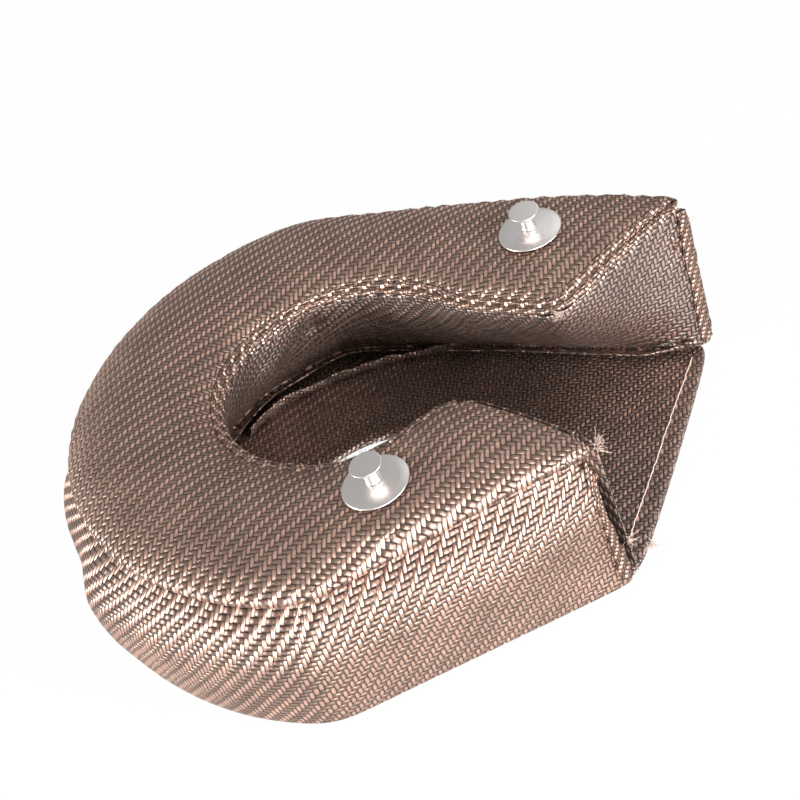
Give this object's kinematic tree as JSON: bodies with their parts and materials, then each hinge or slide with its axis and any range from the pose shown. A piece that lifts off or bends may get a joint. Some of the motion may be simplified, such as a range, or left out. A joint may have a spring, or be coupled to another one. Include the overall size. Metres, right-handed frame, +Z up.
{
  "type": "turbo heat blanket",
  "caption": "C-shaped padded heat jacket of woven basalt cloth with an open mouth, a round opening above and below, and lacing posts for tie wire.",
  "frame": {"origin": "on the surface it rests on, under the middle of its outer box", "axes": "+Z up through the openings, +X out of the mouth, +Y towards the longer rear arm"},
  "size_m": [0.2514, 0.2316, 0.0858],
  "materials": {
    "outer_cloth": "bronze-brown 2/2 twill of basalt yarn with a silky sheen",
    "lining_cloth": "the same basalt twill, darker inside",
    "insulation": "off-white needled silica felt",
    "stainless_steel": "satin stainless sheet and turned rivet"
  },
  "bodies": {
    "root": {"top_panel": "outer_cloth", "side_wall": "outer_cloth", "inner_lining": "lining_cloth", "bottom_panel": "lining_cloth", "felt_mat": "insulation", "side_packing": "insulation", "front_anchor_washer": "stainless_steel", "front_anchor_post": "stainless_steel", "front_anchor_lock_washer": "stainless_steel", "rear_anchor_washer": "stainless_steel", "rear_anchor_post": "stainless_steel", "rear_anchor_lock_washer": "stainless_steel"}
  },
  "joints": []
}
